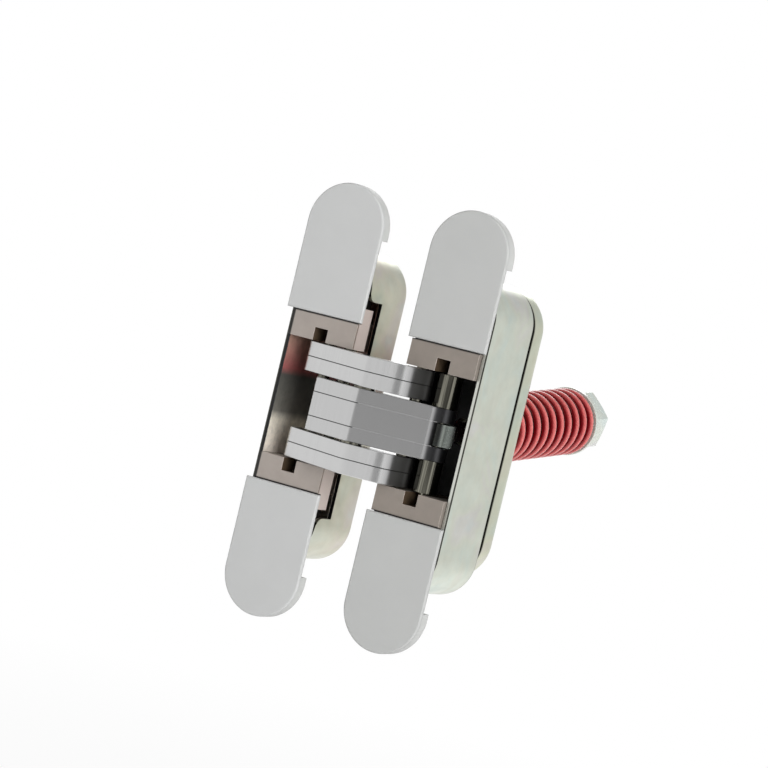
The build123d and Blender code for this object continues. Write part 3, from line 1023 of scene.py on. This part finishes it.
@dataclass
class Linkage(Assembly):
    """The crossed arms with their pins, sleeves and spacers."""

    outer: tuple[str, ...] = (
        "upper_arm_inner_plate", "upper_arm_outer_plate", "lower_arm_inner_plate", "lower_arm_outer_plate",
    )
    middle: tuple[str, ...] = ("middle_arm_top_plate", "middle_arm_centre_plate", "middle_arm_bottom_plate")
    rounds: tuple[str, ...] = (
        "centre_pin", "frame_slide_pin", "door_slide_pin", "upper_slide_sleeve", "lower_slide_sleeve",
        "upper_arm_spacer", "lower_arm_spacer",
    )

    def finishes(self, palette: Palette) -> dict[str, Finish]:
        """The finish of each plate and round piece."""
        groups = ((self.outer, palette.ARM), (self.middle, palette.ARM_MIDDLE), (self.rounds, palette.DARK))
        return {name: finish for names, finish in groups for name in names}


@dataclass
class SpringGear(Assembly):
    """The closing spring with its housing, rod, washer and nut, sizes in millimetres."""

    eye: Vector = field(default_factory=lambda: Vector((38.3, 3.8, 0.0)))
    lean: float = 6.9
    outside: float = 19.2
    wire: float = 2.1
    start: float = 30.59
    length: float = 46.5
    pitch: float = 4.87
    phase: float = 0.5
    extra_turns: float = 0.9
    closed_turns: float = 0.6
    closed_pitch: float = 0.25
    steps: int = 40
    sides: int = 16

    def finishes(self, palette: Palette) -> dict[str, Finish]:
        """The finish of each CAD node round the spring, and of the spring that the coil stands for.

        Args:
            palette: the finishes to choose from.

        Returns:
            The finishes by the nodes' names.
        """
        return {
            "spring_housing": palette.SHELL, "spring_rod": palette.ROD, "spring_washer": palette.BRIGHT,
            "tension_nut": palette.BRIGHT, "closing_spring": palette.RED,
        }

    def along(self, reach: float, radius: float = 0.0, turn: float = 0.0) -> Vector:
        """A point near the rod's line.

        Args:
            reach: distance from the eye along the rod, mm.
            radius: distance from the line, mm.
            turn: angle round the line, radians.

        Returns:
            The point in metres.
        """
        tilt = math.radians(self.lean)
        axis = Vector((0, math.cos(tilt), math.sin(tilt)))
        side = Vector((1, 0, 0))
        up = side.cross(axis)
        return (self.eye + axis * reach + (side * math.cos(turn) + up * math.sin(turn)) * radius) * MM

    def reaches(self) -> list[float]:
        """How far along the rod each step of the wire lies, its end turns closed up.

        Returns:
            Distances from the eye, mm.
        """
        height = self.length - self.wire
        turns = height / self.pitch + self.extra_turns
        reach, spots = 0.0, []
        for i in range(int(turns * self.steps) + 1):
            spots.append(reach)
            turn = i / self.steps
            closed = min(turn, turns - turn) < self.closed_turns
            reach += (self.closed_pitch if closed else 1.0) / self.steps
        scale = height / spots[-1]
        return [self.start + self.wire / 2 + spot * scale for spot in spots]

    def coil(self) -> Object:
        """The spring's round wire, with how far each point lies outward as an attribute.

        Returns:
            The spring as one mesh.
        """
        radius = (self.outside - self.wire) / 2
        reaches = self.reaches()
        centres = [
            self.along(reach, radius, 2 * math.pi * (i / self.steps + self.phase))
            for i, reach in enumerate(reaches)
        ]
        angles = [2 * math.pi * k / self.sides for k in range(self.sides)]
        last = len(centres) - 1
        points, faces = [], []
        for i, c in enumerate(centres):
            ahead = (centres[min(i + 1, last)] - centres[max(i - 1, 0)]).normalized()
            out = (c - self.along(reaches[i])).normalized()
            across = ahead.cross(out).normalized()
            points += [c + (out * math.cos(a) + across * math.sin(a)) * (self.wire / 2 * MM) for a in angles]
        for i in range(last):
            a, b = i * self.sides, (i + 1) * self.sides
            for k in range(self.sides):
                n = (k + 1) % self.sides
                faces.append((a + k, a + n, b + n, b + k))
        faces.append(tuple(range(self.sides)))
        faces.append(tuple(last * self.sides + k for k in reversed(range(self.sides))))
        made = Shape.mesh("closing_spring_coil", points, faces)
        outward = [(1 + math.cos(a)) / 2 for a in angles]
        shade = made.data.attributes.new("outward", "FLOAT", "POINT")
        shade.data.foreach_set("value", outward * len(centres))
        return made

    def build(self, palette: Palette) -> list[Object]:
        """Makes the spring and dresses what is round it.

        Args:
            palette: the finishes to choose from.

        Returns:
            The spring and the CAD nodes.
        """
        spring = self.coil()
        palette.dress(spring, palette.RED)
        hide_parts("closing_spring")
        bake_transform(spring)
        return [spring, *super().build(palette)]


@dataclass
class Studio:
    """Floor, light and camera, as the photograph has them; aim, distance and lens in millimetres."""

    aim: Vector = field(default_factory=lambda: Vector((19.15, -4.0, 0.0)))
    azimuth: float = 28.48
    elevation: float = 2.61
    roll: float = 13.53
    distance: float = 807.6
    lens: float = 141.86
    sensor: float = 36.0
    shift: tuple[float, float] = (20.8 / 768, 32.0 / 768)
    clip: tuple[float, float] = (0.01, 20.0)
    ambient: float = 0.55
    overhead: float = 0.62
    overhead_at: float = 0.8
    floor_size: float = 8.0
    floor_level: float = -0.16
    floor_tone: float = 0.9
    floor_roughness: float = 0.9
    # what holds near the hinge and far off, and the metres away between which it changes
    floor_glow: tuple[float, ...] = (0.88, 1.0, 0.15, 0.6)
    floor_boost: tuple[float, ...] = (0.35, 0.0, 0.25, 0.8)
    # name, place and side in metres, then watts for a lamp and brightness for a card
    lamps: tuple[tuple[str, Triple, float, float], ...] = (
        ("key", (0.85, -0.58, 0.20), 0.6, 10.5), ("fill", (-0.60, -0.80, 0.35), 0.6, 0.8),
    )
    cards: tuple[tuple[str, Triple, float, float], ...] = (
        ("front_card", (0.35, -0.75, 0.05), 0.62, 0.40), ("back_card", (-0.45, 0.75, 0.60), 0.8, 3.0),
    )

    def camera(self) -> Object:
        """Sets the camera where the photograph was taken from.

        Returns:
            The camera.
        """
        a, e, r = (math.radians(v) for v in (self.azimuth, self.elevation, self.roll))
        back = Vector((math.sin(a) * math.cos(e), -math.cos(a) * math.cos(e), math.sin(e)))
        right = (-back).cross(Vector((0, 0, 1))).normalized()
        up = right.cross(-back).normalized()
        across = right * math.cos(r) + up * math.sin(r)
        high = up * math.cos(r) - right * math.sin(r)
        data = bpy.data.cameras.new("camera")
        data.sensor_width = self.sensor
        data.lens = self.lens
        data.shift_x, data.shift_y = self.shift
        data.clip_start, data.clip_end = self.clip
        camera = bpy.data.objects.new("camera", data)
        turn = Matrix((across, high, back)).transposed().to_4x4()
        camera.matrix_world = Matrix.Translation((self.aim + back * self.distance) * MM) @ turn
        bpy.context.scene.collection.objects.link(camera)
        bpy.context.scene.camera = camera
        return camera

    def world(self) -> None:
        """A surround that is white to the camera, dimmer overhead in reflections and softer as light."""
        world = bpy.data.worlds.new("white")
        bpy.context.scene.world = world
        world.use_nodes = True
        g = Graph(world.node_tree)
        path = g.add("LightPath").outputs
        seen = g.math("MAXIMUM", path["Is Camera Ray"], path["Is Transmission Ray"])
        mirror = g.math("MAXIMUM", seen, path["Is Glossy Ray"])
        up = g.split(g.add("TexCoord").outputs["Generated"])["Z"]
        shown = g.math("MAXIMUM", g.between(up, 1.0, self.overhead, 0.0, self.overhead_at), seen)
        ground = world.node_tree.nodes["Background"]
        g.feed(ground.inputs["Color"], WHITE)
        g.feed(ground.inputs["Strength"], g.math("MULTIPLY", shown, g.between(mirror, self.ambient, 1.0)))

    def stand(self, thing: Object, place: Triple, axis: str) -> None:
        """Stands a thing at a place and turns it to the hinge.

        Args:
            thing: the lamp or card.
            place: where it stands, metres.
            axis: which of its axes looks at the hinge.
        """
        thing.location = place
        thing.rotation_mode = "QUATERNION"
        thing.rotation_quaternion = (self.aim * MM - Vector(place)).to_track_quat(axis, "Y")

    def lamp(self, name: str, place: Triple, size: float, power: float) -> Object:
        """A square soft lamp that looks at the hinge and that metal doesn't mirror.

        Args:
            name: the lamp's name.
            place: where it stands, metres.
            size: its side, metres.
            power: watts.

        Returns:
            The lamp.
        """
        data = bpy.data.lights.new(name, "AREA")
        data.size, data.energy = size, power
        lamp = bpy.data.objects.new(name, data)
        self.stand(lamp, place, "-Z")
        lamp.visible_glossy = False
        bpy.context.scene.collection.objects.link(lamp)
        return lamp

    def card(self, name: str, place: Triple, size: float, tone: float) -> Object:
        """A glowing card that only reflections see.

        Args:
            name: the card's name.
            place: where it stands, metres.
            size: its side, metres.
            tone: how bright it is, 1 for white.

        Returns:
            The card.
        """
        card = Shape.sheet(name, size)
        self.stand(card, place, "Z")
        made = bpy.data.materials.new(name)
        made.use_nodes = True
        g = Graph(made.node_tree)
        glow = g.add("Emission", {"Color": (tone, tone, tone)})
        g.feed(made.node_tree.nodes["Material Output"].inputs["Surface"], glow.outputs[0])
        card.data.materials.append(made)
        card.visible_camera = card.visible_diffuse = card.visible_shadow = False
        return card

    def floor(self) -> Object:
        """A pale floor well below the hinge, white to the camera, with a trace of shadow.

        Returns:
            The floor.
        """
        floor = Shape.sheet("floor", self.floor_size, self.floor_level)
        made = bpy.data.materials.new("floor_white")
        made.use_nodes = True
        g = Graph(made.node_tree)
        shader = made.node_tree.nodes["Principled BSDF"]
        g.feed(shader.inputs["Base Color"], (self.floor_tone, self.floor_tone, self.floor_tone))
        g.feed(shader.inputs["Roughness"], self.floor_roughness)
        path = g.add("LightPath").outputs
        seen = g.math("MAXIMUM", path["Is Camera Ray"], path["Is Glossy Ray"])
        away = g.add("VectorMath", {0: g.spot()}, operation="LENGTH").outputs["Value"]
        share = g.math("MULTIPLY", seen, g.between(away, *self.floor_glow))
        near = g.between(away, *self.floor_boost)
        boost = g.math("MULTIPLY_ADD", near, path["Is Glossy Ray"], 1.0)
        glow = g.add("Emission", {"Color": WHITE, "Strength": boost})
        mixed = g.add("MixShader", {0: share, 1: shader.outputs[0], 2: glow.outputs[0]})
        g.feed(made.node_tree.nodes["Material Output"].inputs["Surface"], mixed.outputs[0])
        floor.data.materials.append(made)
        return floor

    def build(self) -> list[Object]:
        """Sets up everything round the hinge.

        Returns:
            The camera, the floor, the lamps and the cards.
        """
        pieces = [self.camera(), self.floor()]
        self.world()
        pieces += [self.lamp(*lamp) for lamp in self.lamps]
        pieces += [self.card(*card) for card in self.cards]
        bpy.context.scene.view_settings.view_transform = "Standard"
        return pieces


def main() -> None:
    """Dresses the hinge, sets up the studio and reports each piece."""
    logging.basicConfig(level=logging.INFO, format="%(name)s: %(message)s")
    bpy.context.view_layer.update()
    palette = Palette(Effects())
    for assembly in (HalfHinge(Side.FRAME), HalfHinge(Side.DOOR), Linkage(), SpringGear()):
        for piece in assembly.build(palette):
            log.info("%s in %s", piece.name, piece.data.materials[0].name)
    for piece in Studio().build():
        log.info("%s in the studio", piece.name)


if __name__ == "__main__":
    main()
